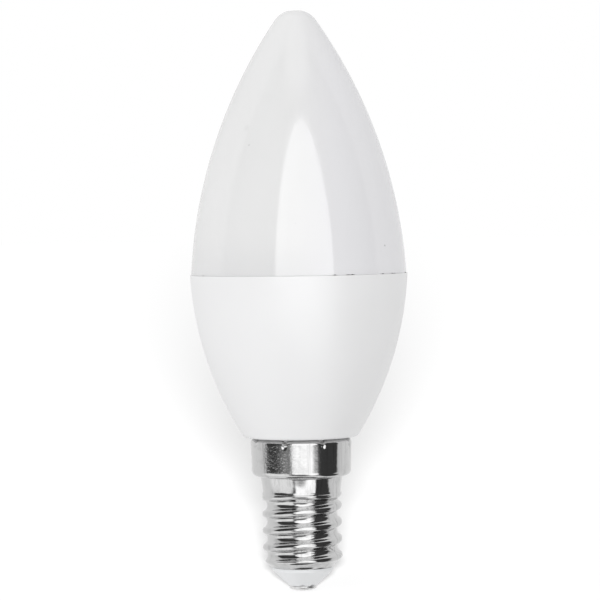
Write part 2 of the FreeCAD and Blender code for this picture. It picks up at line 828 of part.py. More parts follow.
build_diffuser()
build_housing()
build_screw_shell()
build_cap_insulator()
build_contact_pin()
build_adhesive()
build_heat_sink()
build_led_board()
build_leds()
build_screws()
build_driver_board()
build_link()
build_chips()
build_can("input_capacitor", "input_can", "-input_can_shift")
build_can("output_capacitor", "output_can", "output_can_shift")
build_inductor()
build_fuse_resistor()
build_live_wire()
build_neutral_wire()
doc.recompute()
check(doc.Objects)

os.makedirs("parts", exist_ok=True)
for piece in pieces:
    piece.Shape.exportStep(f"parts/{piece.Label}.step")
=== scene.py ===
import logging
import math
from abc import ABC, abstractmethod
from dataclasses import dataclass
from enum import Enum

import bpy
import numpy as np
from mathutils import Matrix, Vector


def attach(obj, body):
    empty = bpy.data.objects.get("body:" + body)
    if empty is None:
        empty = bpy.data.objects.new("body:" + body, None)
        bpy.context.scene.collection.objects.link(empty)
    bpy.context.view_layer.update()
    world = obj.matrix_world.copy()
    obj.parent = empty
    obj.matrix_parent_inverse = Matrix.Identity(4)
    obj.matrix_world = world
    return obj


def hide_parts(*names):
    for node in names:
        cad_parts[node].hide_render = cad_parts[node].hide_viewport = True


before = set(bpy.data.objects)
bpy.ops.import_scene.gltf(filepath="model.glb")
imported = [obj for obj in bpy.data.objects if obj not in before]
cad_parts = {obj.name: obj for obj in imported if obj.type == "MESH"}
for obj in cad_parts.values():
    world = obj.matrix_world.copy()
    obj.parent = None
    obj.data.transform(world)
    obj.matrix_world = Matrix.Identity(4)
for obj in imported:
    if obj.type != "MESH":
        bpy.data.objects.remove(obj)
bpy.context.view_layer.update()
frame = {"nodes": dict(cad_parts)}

# The looks of an LED candle lamp with an E14 screw cap
# The lamp's sizes are in millimetres, the studio's in metres

LOG = logging.getLogger("candle_lamp")
MM = 0.001
TURN = 2.0 * math.pi
FRONT = 1.5 * math.pi
FILLET_POINTS = 5
THREAD_PITCH = 2.822
SEAM_HEIGHT = 53.5
LIP_RADIUS = 5.15
Corner = tuple[float, float, float]
Colour = tuple[float, float, float]
Socket = bpy.types.NodeSocket
Piece = bpy.types.Object
Material = bpy.types.Material


class Ending(Enum):
    """How the first and last rows of a turned surface end."""

    RING = "the last row joins the first"
    POLES = "both end on the axis"


class Slot(Enum):
    """The record's material slots that the new pieces take."""

    OPAL = "opal_plastic"
    WHITE = "white_plastic"
    NICKEL = "nickel_plate"
    INSULATOR = "pale_insulator"


# Outlines


def arc_corners(centre: tuple[float, float], radius: float, first: float, last: float,
                count: int) -> list[Corner]:
    """Corners along a circle's arc: centre plus radius times the cosine and sine of each angle.

    Args:
        centre: Radius and height of the circle's centre.
        radius: The circle's radius.
        first: Angle of the first corner, in radians from the outward direction.
        last: Angle of the last corner.
        count: Number of corners.

    Returns:
        The corners, with no fillet of their own.
    """
    turn = np.linspace(first, last, count)
    across = centre[0] + radius * np.cos(turn)
    up = centre[1] + radius * np.sin(turn)
    return [(float(r), float(z), 0.0) for r, z in zip(across, up)]


def arc_between(low: tuple[float, float], high: tuple[float, float], radius: float,
                count: int) -> list[Corner]:
    """Corners along an arc that bulges outwards from one point up to another.

    The centre lies on the chord's bisector, as far from its middle as the radius asks.

    Args:
        low: Radius and height of the first corner.
        high: Radius and height of the last corner.
        radius: The arc's radius.
        count: Number of corners.

    Returns:
        The corners.
    """
    start, end = np.array(low), np.array(high)
    chord = end - start
    length = float(np.linalg.norm(chord))
    side = np.array([-chord[1], chord[0]]) / length
    centre = (start + end) / 2 + side * math.sqrt(radius**2 - length**2 / 4)
    first, last = (math.atan2(*(point - centre)[::-1]) for point in (start, end))
    return arc_corners(tuple(centre), radius, first, last, count)


def part_way(first: Corner, second: Corner, share: float) -> Corner:
    """A corner on the line from one to another, which keeps the shading of a sharp edge close to it."""
    return tuple(start + share * (end - start) for start, end in zip(first, second))


def rounded(corners: list[Corner], closed: bool) -> np.ndarray:
    """Round each corner that has a fillet by a quadratic curve between its two tangent points.

    Args:
        corners: Radius, height and fillet of each corner, in order.
        closed: Whether the last corner joins the first.

    Returns:
        The outline's points, one row each.
    """
    spots = np.array([corner[:2] for corner in corners])
    share = np.linspace(0.0, 1.0, FILLET_POINTS)[:, None]
    points = []
    for place, (_, _, fillet) in enumerate(corners):
        here = spots[place]
        inner = closed or 0 < place < len(corners) - 1
        if fillet <= 0.0 or not inner:
            points.append(here[None, :])
            continue
        before = spots[place - 1] - here
        after = spots[(place + 1) % len(corners)] - here
        reach = min(fillet, 0.5 * float(np.linalg.norm(before)), 0.5 * float(np.linalg.norm(after)))
        start = here + before / np.linalg.norm(before) * reach
        end = here + after / np.linalg.norm(after) * reach
        points.append((1 - share) ** 2 * start + 2 * share * (1 - share) * here + share**2 * end)
    return np.concatenate(points)


@dataclass(frozen=True)
class Step:
    """The longest mesh edges wanted: one length beyond a radius or a height, and one before it."""

    beyond: float
    before: float
    limit: float = 0.0
    axis: int = 0

    def at(self, middle: np.ndarray) -> np.ndarray:
        """The longest edge wanted at each point."""
        return np.where(middle[:, self.axis] > self.limit, self.beyond, self.before)


def refined(points: np.ndarray, step: Step, closed: bool) -> np.ndarray:
    """Split each edge of an outline into equal parts no longer than the step wanted there.

    Args:
        points: The outline's points.
        step: The steps.
        closed: Whether the last point joins the first.

    Returns:
        The points with the added ones between them.
    """
    ahead = np.roll(points, -1, axis=0) if closed else points[1:]
    start = points if closed else points[:-1]
    length = np.linalg.norm(ahead - start, axis=1)
    parts = np.maximum(np.ceil(length / step.at((start + ahead) / 2)).astype(int), 1)
    index = np.repeat(np.arange(len(start)), parts)
    within = np.concatenate([np.arange(part) / part for part in parts])[:, None]
    filled = start[index] * (1 - within) + ahead[index] * within
    return filled if closed else np.concatenate([filled, points[-1:]])


def bump(distance: np.ndarray, width: float) -> np.ndarray:
    """A bell curve of a distance: e to the minus square of distance over width."""
    return np.exp(-((distance / width) ** 2))


def azimuth_from(theta: np.ndarray, middle: float) -> np.ndarray:
    """The signed angle from a middle direction, wrapped to half a turn each way."""
    return (theta - middle + math.pi) % TURN - math.pi


# Meshes


def angles(columns: int) -> np.ndarray:
    """Even angles once round the axis."""
    return np.arange(columns) * TURN / columns


def spread(rows: np.ndarray, columns: int) -> tuple[np.ndarray, np.ndarray, np.ndarray]:
    """Carry an outline round the axis."""
    return angles(columns), np.repeat(rows[:, :1], columns, axis=1), np.repeat(rows[:, 1:], columns, axis=1)


def in_scene(name: str, data: bpy.types.ID) -> Piece:
    """Put a new object in the scene.

    Args:
        name: The object's name.
        data: Its mesh, camera or lamp.

    Returns:
        The object, at the origin.
    """
    made = bpy.data.objects.new(name, data)
    bpy.context.scene.collection.objects.link(made)
    return made


def turned_mesh(name: str, radius: np.ndarray, height: np.ndarray, ending: Ending) -> Piece:
    """Make a surface from a grid: x is radius times the cosine of the angle, y times its sine.

    Args:
        name: The piece's name.
        radius: Radius of each grid point in millimetres, rows along the outline, columns round the axis.
        height: Height of each grid point in millimetres.
        ending: Whether the rows close on themselves or end on the axis.

    Returns:
        The new object, at the origin.
    """
    rows, columns = radius.shape
    theta = angles(columns)
    place = np.stack([radius * np.cos(theta), radius * np.sin(theta), height], axis=-1) * MM
    row = np.arange(rows if ending is Ending.RING else rows - 1)[:, None]
    column = np.arange(columns)[None, :]
    ahead, across = (row + 1) % rows, (column + 1) % columns
    quads = np.stack([row * columns + column, row * columns + across, ahead * columns + across,
                      ahead * columns + column], axis=-1).reshape(-1, 4)
    vertices = place.reshape(-1, 3)
    if ending is Ending.RING:
        loops, sizes = quads.reshape(-1), np.full(len(quads), 4)
    else:
        vertices = np.concatenate([vertices[:1], vertices[columns:-columns], vertices[-1:]])
        middle = quads[columns:-columns] - columns + 1
        around = np.arange(columns)
        onward = (around + 1) % columns
        last = len(vertices) - 1
        low = np.stack([np.zeros(columns, int), 1 + onward, 1 + around], axis=-1)
        high = np.stack([last - columns + around, last - columns + onward, np.full(columns, last)], axis=-1)
        loops = np.concatenate([low.reshape(-1), middle.reshape(-1), high.reshape(-1)])
        sizes = np.concatenate([np.full(columns, 3), np.full(len(middle), 4), np.full(columns, 3)])
    mesh = bpy.data.meshes.new(name)
    mesh.vertices.add(len(vertices))
    mesh.vertices.foreach_set("co", vertices.astype(np.float32).reshape(-1))
    mesh.loops.add(len(loops))
    mesh.loops.foreach_set("vertex_index", loops.astype(np.int32))
    mesh.polygons.add(len(sizes))
    starts = np.concatenate([[0], np.cumsum(sizes)[:-1]])
    mesh.polygons.foreach_set("loop_start", starts.astype(np.int32))
    mesh.update(calc_edges=True)
    mesh.validate()
    mesh.shade_smooth()
    return in_scene(name, mesh)


# Finishes


@dataclass(frozen=True)
class Graph:
    """A material's node tree, with short calls to add its nodes."""

    tree: bpy.types.NodeTree

    @classmethod
    def empty(cls, owner: bpy.types.ID) -> "Graph":
        """Turn on and empty a node tree.

        Args:
            owner: The material, world or lamp that has it.

        Returns:
            Its graph.
        """
        owner.use_nodes = True
        owner.node_tree.nodes.clear()
        return cls(owner.node_tree)

    def feed(self, socket: Socket, given: object) -> None:
        """Link an output to an input socket, or set its value.

        Args:
            socket: The input socket.
            given: An output socket, a number, a place or a colour.
        """
        if isinstance(given, Socket):
            self.tree.links.new(given, socket)
        else:
            socket.default_value = (*given, 1.0) if socket.type == "RGBA" else given

    def node(self, kind: str, inputs: dict | None = None, **settings: object) -> bpy.types.Node:
        """Add a node.

        Args:
            kind: The node's type, without its ShaderNode prefix.
            inputs: Values or output sockets for its input sockets, by name or number.
            settings: Its own properties.

        Returns:
            The node.
        """
        made = self.tree.nodes.new("ShaderNode" + kind)
        for key, setting in settings.items():
            setattr(made, key, setting)
        for key, given in (inputs or {}).items():
            self.feed(made.inputs[key], given)
        return made

    def maths(self, operation: str, first: object, second: object = 0.0) -> Socket:
        """The result of a sum on two numbers or sockets."""
        return self.node("Math", {0: first, 1: second}, operation=operation).outputs[0]

    def between(self, amount: object, low: float, high: float, new_low: float = 0.0,
                new_high: float = 1.0) -> Socket:
        """The amount carried smoothly from one range to another."""
        wanted = {"Value": amount, "From Min": low, "From Max": high, "To Min": new_low, "To Max": new_high}
        return self.node("MapRange", wanted, interpolation_type="SMOOTHSTEP").outputs[0]

    def split(self, where: object) -> tuple[Socket, ...]:
        """The coordinates' x, y and z."""
        return tuple(self.node("SeparateXYZ", {0: where}).outputs)

    def place(self) -> Socket:
        """The point's own coordinates on the piece, in metres."""
        return self.node("TexCoord").outputs["Object"]

    def noise(self, where: object, scale: float, detail: float = 2.0, roughness: float = 0.5) -> Socket:
        """A cloudy pattern from 0 to 1 with so many features a metre."""
        wanted = {"Vector": where, "Scale": scale, "Detail": detail, "Roughness": roughness}
        return self.node("TexNoise", wanted).outputs["Fac"]

    def stretched(self, where: object, scale: Colour) -> Socket:
        """The coordinates multiplied along each axis."""
        return self.node("Mapping", {"Vector": where, "Scale": scale}).outputs[0]

    def spot(self, where: object, middle: Colour, radius: float) -> Socket:
        """A round mark: 1 at its middle, falling to 0 at its radius.

        Args:
            where: The coordinates in metres.
            middle: The mark's middle in millimetres.
            radius: Its radius in millimetres.

        Returns:
            The mark.
        """
        centre = tuple(amount * MM for amount in middle)
        away = self.node("VectorMath", {0: where, 1: centre}, operation="DISTANCE").outputs["Value"]
        return self.between(away, 0.0, radius * MM, 1.0, 0.0)

    def mix(self, share: object, first: object, second: object, kind: str = "RGBA") -> Socket:
        """Two colours mixed by a share, or two numbers for the kind FLOAT."""
        wanted = {"Factor": share, "A": first, "B": second}
        return self.node("Mix", wanted, data_type=kind).outputs["Result"]

    def relief(self, height: object, depth: float, strength: object = 1.0,
               over: Socket | None = None) -> Socket:
        """A normal raised by a height pattern.

        Args:
            height: The pattern.
            depth: Its depth in millimetres.
            strength: How much of it shows.
            over: The normal that it lies on, if not the surface's own.

        Returns:
            The normal.
        """
        wanted = {"Height": height, "Distance": depth * MM, "Strength": strength}
        if over is not None:
            wanted["Normal"] = over
        return self.node("Bump", wanted).outputs["Normal"]

    def glow(self, kind: str, strength: object) -> Socket:
        """White light of a strength, from an Emission or a Background node."""
        return self.node(kind, {"Color": (1.0, 1.0, 1.0), "Strength": strength}).outputs[0]

    def blend(self, share: object, first: object, second: object) -> Socket:
        """Two shaders mixed by a share."""
        return self.node("MixShader", {0: share, 1: first, 2: second}).outputs[0]


class Finish(ABC):
    """A surface's look: a principled shader, some of whose sockets each kind of finish sets."""

    name: str

    @abstractmethod
    def sockets(self, graph: Graph) -> dict[str, object]:
        """Values or output sockets for the shader's sockets, by their names."""

    def make(self) -> Material:
        """Make the material.

        Returns:
            The material.
        """
        material = bpy.data.materials.new(self.name)
        graph = Graph.empty(material)
        shader = graph.node("BsdfPrincipled")
        graph.node("OutputMaterial", {"Surface": shader.outputs[0]})
        for key, given in self.sockets(graph).items():
            graph.feed(shader.inputs[key], given)
        return material


@dataclass(frozen=True)
class OpalPlastic(Finish):
    """Glossy milky plastic, faintly cloudy, with a few specks of dust in it, painted shade towards its foot
    and painted light on its right side.
    """

    name: str = "opal_plastic"
    colour: Colour = (0.83, 0.83, 0.83)
    cloud: Colour = (0.815, 0.815, 0.815)
    # Painted shade: the cover's wall is darker just above its seam with the housing
    foot: Colour = (0.772, 0.772, 0.777)
    # Painted light: the right side of the cover is lighter and faintly blue
    painted_right_light: Colour = (0.845, 0.842, 0.862)
    speck: Colour = (0.42, 0.42, 0.42)
    roughness: float = 0.035
    # Heights in metres between which the painted shade at the foot ends, and how far across the painted
    # light on the right side sets in
    painted_foot_shade_fade: tuple[float, float] = (0.0535, 0.061)
    painted_right_light_fade: tuple[float, float] = (-0.002, 0.008)
    # A dark speck and a faint one: place and radius in millimetres
    dark_speck: tuple[Colour, float] = ((14.3, -10.56, 58.2), 0.24)
    faint_speck: tuple[Colour, float] = ((-8.3, -10.1, 77.9), 0.9)

    def sockets(self, graph: Graph) -> dict[str, object]:
        """Wire the finish.

        Args:
            graph: The material's graph.

        Returns:
            What feeds each of the shader's sockets.
        """
        where = graph.place()
        across, _, up = graph.split(where)
        clouds = graph.between(graph.noise(where, 70.0, 3.0), 0.35, 0.7)
        base = graph.mix(clouds, self.colour, self.cloud)
        # Painted shade: darker towards the cover's foot at the seam
        base = graph.mix(graph.between(up, *self.painted_foot_shade_fade, 1.0, 0.0), base, self.foot)
        # Painted light: lighter towards the right side
        base = graph.mix(graph.between(across, *self.painted_right_light_fade), base, self.painted_right_light)
        faint = graph.maths("MULTIPLY", graph.spot(where, *self.faint_speck), 0.12)
        marks = graph.maths("MAXIMUM", graph.spot(where, *self.dark_speck), faint)
        dust = graph.between(graph.noise(where, 900.0, 0.0), 0.885, 0.93)
        marks = graph.maths("MAXIMUM", marks, graph.maths("MULTIPLY", dust, 0.25))
        sheen = graph.between(graph.noise(where, 240.0, 2.0), 0.3, 0.7, self.roughness,
                              self.roughness + 0.03)
        ripple = graph.noise(graph.stretched(where, (1.0, 1.0, 0.35)), 190.0, 1.0)
        return {"Base Color": graph.mix(marks, base, self.speck), "Roughness": sheen, "IOR": 1.5,
                "Subsurface Weight": 0.12, "Subsurface Radius": (0.004, 0.004, 0.004),
                "Subsurface Scale": 1.0, "Normal": graph.relief(ripple, 0.006)}


@dataclass(frozen=True)
class SatinPlastic(Finish):
    """White moulded plastic with a fine spark-eroded grain."""

    name: str
    colour: Colour
    shade: Colour
    roughness: float = 0.36
    grain: float = 0.004

    def sockets(self, graph: Graph) -> dict[str, object]:
        """Wire the finish.

        Args:
            graph: The material's graph.

        Returns:
            What feeds each of the shader's sockets.
        """
        where = graph.place()
        clouds = graph.between(graph.noise(where, 55.0, 3.0), 0.3, 0.7)
        fine = graph.noise(where, 5200.0, 2.0)
        sheen = graph.between(graph.noise(where, 160.0, 2.0), 0.3, 0.7, self.roughness,
                              self.roughness + 0.05)
        return {"Base Color": graph.mix(clouds, self.colour, self.shade), "Roughness": sheen,
                "IOR": 1.49, "Normal": graph.relief(fine, self.grain)}


@dataclass(frozen=True)
class NickelPlate(Finish):
    """Metal plated with nickel: drawing streaks, a grainy patch and the rollers' lines."""

    name: str
    roughness: float
    colour: Colour = (0.64, 0.64, 0.64)
    dull: Colour = (0.5, 0.5, 0.5)
    pitch: float = THREAD_PITCH
    lines: float = 9.0
    thread_top: float = 16.4
    line_fade: float = 0.5
    # The grainy patch, in metres: between which places it sets in to the left, and up the collar
    patch_side: tuple[float, float] = (0.0002, -0.0035)
    patch_foot: tuple[float, float] = (0.0192, 0.0205)

    def rolled_lines(self, graph: Graph, apart: tuple[Socket, ...]) -> Socket:
        """Fine lines that run along the thread: a sine of the height less the turn's rise.

        Args:
            graph: The material's graph.
            apart: The coordinates' x, y and z.

        Returns:
            The lines, from -1 to 1, and 0 above the thread.
        """
        across, ahead, up = apart
        turns = graph.maths("DIVIDE", graph.maths("ARCTAN2", ahead, across), TURN)
        phase = graph.maths("SUBTRACT", graph.maths("DIVIDE", up, self.pitch * MM), turns)
        wave = graph.maths("SINE", graph.maths("MULTIPLY", phase, self.lines * TURN))
        fade = (self.thread_top - self.line_fade) * MM
        below = graph.between(up, fade, self.thread_top * MM, 1.0, 0.0)
        return graph.maths("MULTIPLY", wave, below)

    def sockets(self, graph: Graph) -> dict[str, object]:
        """Wire the finish.

        Args:
            graph: The material's graph.

        Returns:
            What feeds each of the shader's sockets.
        """
        where = graph.place()
        apart = graph.split(where)
        across, _, up = apart
        streaks = graph.noise(graph.stretched(where, (1.0, 1.0, 0.03)), 900.0, 3.0, 0.6)
        blotches = graph.noise(where, 420.0, 4.0, 0.6)
        grain = graph.noise(where, 1800.0, 3.0, 0.7)
        left = graph.between(across, *self.patch_side)
        patch = graph.maths("MULTIPLY", left, graph.between(up, *self.patch_foot))
        rolled = graph.maths("MULTIPLY", self.rolled_lines(graph, apart), 0.12)
        waviness = graph.maths("ADD", rolled, blotches)
        rough = graph.between(blotches, 0.35, 0.75, self.roughness, self.roughness + 0.08)
        dull = graph.maths("MAXIMUM", graph.between(blotches, 0.45, 0.8), graph.between(streaks, 0.5, 0.68))
        normal = graph.relief(streaks, 0.006)
        normal = graph.relief(grain, 0.035, patch, normal)
        normal = graph.relief(waviness, 0.02, 1.0, normal)
        return {"Base Color": graph.mix(dull, self.colour, self.dull), "Metallic": 1.0,
                "Roughness": rough, "Normal": normal}


@dataclass(frozen=True)
class InnerFinish(Finish):
    """A plain inner part's finish: two shades in a cloudy pattern, with a little grain."""

    name: str
    colour: Colour
    shade: Colour
    roughness: float
    metallic: float = 0.0
    scale: float = 400.0
    grain: float = 0.004

    def sockets(self, graph: Graph) -> dict[str, object]:
        """Wire the finish.

        Args:
            graph: The material's graph.

        Returns:
            What feeds each of the shader's sockets.
        """
        where = graph.place()
        clouds = graph.noise(where, self.scale, 3.0)
        fine = graph.noise(where, self.scale * 12.0, 2.0)
        sheen = graph.between(clouds, 0.3, 0.7, self.roughness, self.roughness + 0.08)
        base = graph.mix(graph.between(clouds, 0.3, 0.7), self.colour, self.shade)
        return {"Base Color": base, "Metallic": self.metallic, "Roughness": sheen,
                "Normal": graph.relief(fine, self.grain)}


# Sub-assemblies


@dataclass(frozen=True)
class Stakes:
    """The ring of punch marks that fasten the cap to the housing."""

    count: int = 8
    turn: float = 3.0
    height: float = 24.75
    depth: float = 0.22
    radius: float = 0.48
    upper_share: float = 0.75
    softness: float = 0.004
    edge: float = -0.6
    dip: float = 0.5
    dip_width: float = 0.4
    dip_height: float = 1.3

    def away(self, theta: np.ndarray, radius: np.ndarray) -> np.ndarray:
        """The distance round the collar to the nearest mark, in millimetres."""
        spacing = TURN / self.count
        return ((theta - math.radians(self.turn)) % spacing - spacing / 2) * radius

    def dent(self, theta: np.ndarray, radius: np.ndarray, height: np.ndarray) -> np.ndarray:
        """Depth of the dents: a cone about each mark, drawn out towards the rim, with a soft edge.

        Args:
            theta: Angle of each grid point.
            radius: Radius of each grid point.
            height: Height of each grid point.

        Returns:
            How far each point is pushed in.
        """
        rise = height - self.height
        rise = np.where(rise > 0, rise * self.upper_share, rise)
        share = 1.0 - np.hypot(self.away(theta, radius), rise) / self.radius
        soft = 0.5 * (np.sqrt(share**2 + self.softness) + share)
        return self.depth * np.where(share > self.edge, soft, 0.0)

    def rim_drop(self, theta: np.ndarray, radius: np.ndarray, height: np.ndarray) -> np.ndarray:
        """How far the rim dips at each mark: a bell curve that grows towards the top."""
        growth = np.clip((height - self.height) / self.dip_height, 0.0, 1.0)
        return self.dip * growth * bump(self.away(theta, radius), self.dip_width)


@dataclass
class Diffuser:
    """Opal cover: a thin candle-shaped wall above a skirt that plugs into the housing."""

    rim: float = 18.17
    foot: float = 53.515
    tip: float = 98.0
    flank: float = 83.0
    nose: float = 4.3
    wall: float = 1.1
    skirt_radius: float = 17.15
    skirt_bore: float = 16.05
    skirt_base: float = 49.9
    shoulder: float = 56.5
    shoulder_radius: float = 16.89
    seam_height: float = SEAM_HEIGHT
    tip_flat: float = 97.83
    tip_sharpness: float = 14.0
    gap_reach: float = 0.2
    step: Step = Step(0.9, 0.9)
    columns: int = 360
    # Small gaps where the rim does not quite meet the housing: azimuth from the front, width and height
    gaps: tuple[tuple[float, float, float], ...] = (
        (19.0, 0.8, 0.15), (26.5, 0.8, 0.16), (29.0, 0.8, 0.18), (50.0, 0.8, 0.16), (58.6, 0.8, 0.15),
        (61.0, 0.9, 0.12), (80.0, 1.6, 0.14), (-61.0, 0.9, 0.08), (131.0, 0.9, 0.12), (204.0, 0.9, 0.12))

    def candle(self, start: tuple[float, float], inset: float, rows: int) -> list[Corner]:
        """Corners of a flank arc that runs into a nose arc, from the rim to the tip.

        Args:
            start: Radius and height of the flank's foot.
            inset: How far the arcs lie inside the outer surface.
            rows: Number of corners on the flank.

        Returns:
            The corners, the last of them on the axis.
        """
        flank, nose = self.flank - inset, self.nose - inset
        centre = np.array([0.0, self.tip - inset - nose])
        start = np.array(start)
        reach = float(np.linalg.norm(centre - start))
        along = (flank**2 - (flank - nose) ** 2 + reach**2) / (2 * reach)
        unit = (centre - start) / reach
        pivot = start + unit * along + np.array([-unit[1], unit[0]]) * math.sqrt(flank**2 - along**2)
        meet = math.atan2(*(centre - pivot)[::-1])
        first = math.atan2(*(start - pivot)[::-1])
        sweep = arc_corners(tuple(pivot), flank, first, meet, rows)
        return sweep[:-1] + arc_corners(tuple(centre), nose, meet, math.pi / 2, 28)

    def outline(self) -> np.ndarray:
        """The closed wall's outline, from the tip inside, down, round the rim and up to the tip.

        A softened minimum of the height and a level line flattens the tip a little.

        Returns:
            Radius and height of each point.
        """
        inside = self.candle((self.shoulder_radius, self.shoulder), self.wall, 30)
        outside = self.candle((self.rim, self.foot), 0.0, 110)
        skirt = [(self.skirt_bore, self.seam_height, 0.3), (self.skirt_bore, self.skirt_base, 0.15),
                 (self.skirt_radius, self.skirt_base, 0.15), (self.skirt_radius, self.foot, 0.02),
                 (self.rim - 0.02, self.foot, 0.0), (self.rim - 0.005, self.foot + 0.01, 0.0),
                 part_way(outside[0], outside[1], 0.1), part_way(outside[0], outside[1], 0.3)]
        rows = rounded(inside[::-1] + skirt + outside[1:], closed=False)
        sharpness = self.tip_sharpness
        rows[:, 1] = -np.logaddexp(-sharpness * rows[:, 1], -sharpness * self.tip_flat) / sharpness
        return refined(rows, self.step, closed=False)

    def build(self, opal: Material) -> Piece:
        """Turn the outline about the axis, and lift the rim a little at each small gap.

        Args:
            opal: The cover's material.

        Returns:
            The cover.
        """
        theta, radius, height = spread(self.outline(), self.columns)
        rim = (np.abs(height - self.foot) < self.gap_reach) & (radius > self.skirt_radius + self.gap_reach)
        for azimuth, width, rise in self.gaps:
            away = np.degrees(azimuth_from(theta, FRONT + math.radians(azimuth)))
            fade = 1 - (height - self.foot) / self.gap_reach
            height = height + np.where(rim, rise * bump(away, width) * fade, 0.0)
        piece = turned_mesh("opal_cover", radius, height, Ending.POLES)
        return dressed(piece, opal, "diffuser")


@dataclass
class Housing:
    """White moulded body with the cover's recess, the driver's chamber and the cap's spigot."""

    rim: float = 18.35
    seam: float = SEAM_HEIGHT
    seam_bevel: float = 0.02
    body_radius: float = 56.6
    foot_radius: float = 9.95
    foot_base: float = 26.0
    foot_rise: float = 0.6
    # The foot's rounded edge: how far in from its radius, and how far up
    foot_curve: tuple[tuple[float, float], ...] = ((0.8, 0.0), (0.42, 0.09), (0.15, 0.3))
    recess: float = 17.25
    plate_base: float = 48.1
    ledge: float = 15.85
    throat: float = 11.69
    throat_height: float = 33.0
    bore: float = 6.9
    neck_bore: float = 4.2
    neck: float = 5.5
    neck_base: float = 12.6
    spigot: float = 8.0
    spigot_base: float = 19.8
    spigot_floor: float = 20.8
    spigot_chamfer: float = 0.7
    spigot_relief: float = 0.5
    relief_base: float = 25.1
    stake_play: float = 0.05
    stakes: Stakes = Stakes()
    step: Step = Step(0.45, 1.2, 7.9)
    columns: int = 360

    def body(self) -> list[Corner]:
        """Corners of the body's arc, from the foot to the rim."""
        low = (self.foot_radius, self.foot_base + self.foot_rise)
        return arc_between(low, (self.rim, self.seam - self.seam_bevel), self.body_radius, 90)

    def outline(self) -> np.ndarray:
        """The closed outline: spigot, foot, body, rim, recess, throat and bore.

        Returns:
            Radius and height of each point.
        """
        rows = [(self.neck_bore, self.neck_base, 0.1), (self.neck, self.neck_base, 0.15),
                (self.neck, self.spigot_base, 0.15),
                (self.spigot - self.spigot_chamfer, self.spigot_base, 0.2),
                (self.spigot, self.spigot_base + self.spigot_chamfer, 0.2),
                (self.spigot, self.relief_base - 0.1, 0.15),
                (self.spigot - self.spigot_relief, self.relief_base + 0.2, 0.1),
                (self.spigot - self.spigot_relief, self.foot_base, 0.05)]
        foot = [(self.foot_radius - inward, self.foot_base + up, 0.0) for inward, up in self.foot_curve]
        top = [(self.rim - self.seam_bevel, self.seam, 0.0), (self.recess, self.seam, 0.02),
               (self.recess, self.plate_base, 0.1), (self.ledge, self.plate_base, 0.1),
               (self.throat, self.throat_height, 0.8), (self.bore, self.foot_base, 0.4),
               (self.bore, self.spigot_floor, 0.15), (self.neck_bore, self.spigot_floor, 0.1)]
        body = self.body()
        edge = [part_way(body[-1], body[-2], 0.3), part_way(body[-1], body[-2], 0.1)]
        rows = rounded(rows + foot + body[:-1] + edge + body[-1:] + top, closed=True)
        return refined(rows, self.step, closed=True)

    def build(self, plastic: Material) -> Piece:
        """Turn the outline about the axis, with the stakes pressed into the spigot.

        Args:
            plastic: The body's material.

        Returns:
            The body.
        """
        theta, radius, height = spread(self.outline(), self.columns)
        wall = (radius > self.spigot - 0.6) & (radius < self.spigot + 0.1)
        spigot = wall & (height < self.relief_base + 0.5) & (height > self.spigot_floor + 0.2)
        dent = self.stakes.dent(theta, radius, height) + self.stake_play
        radius = radius - np.where(spigot, dent, 0.0)
        piece = turned_mesh("moulded_body", radius, height, Ending.RING)
        return dressed(piece, plastic, "housing")


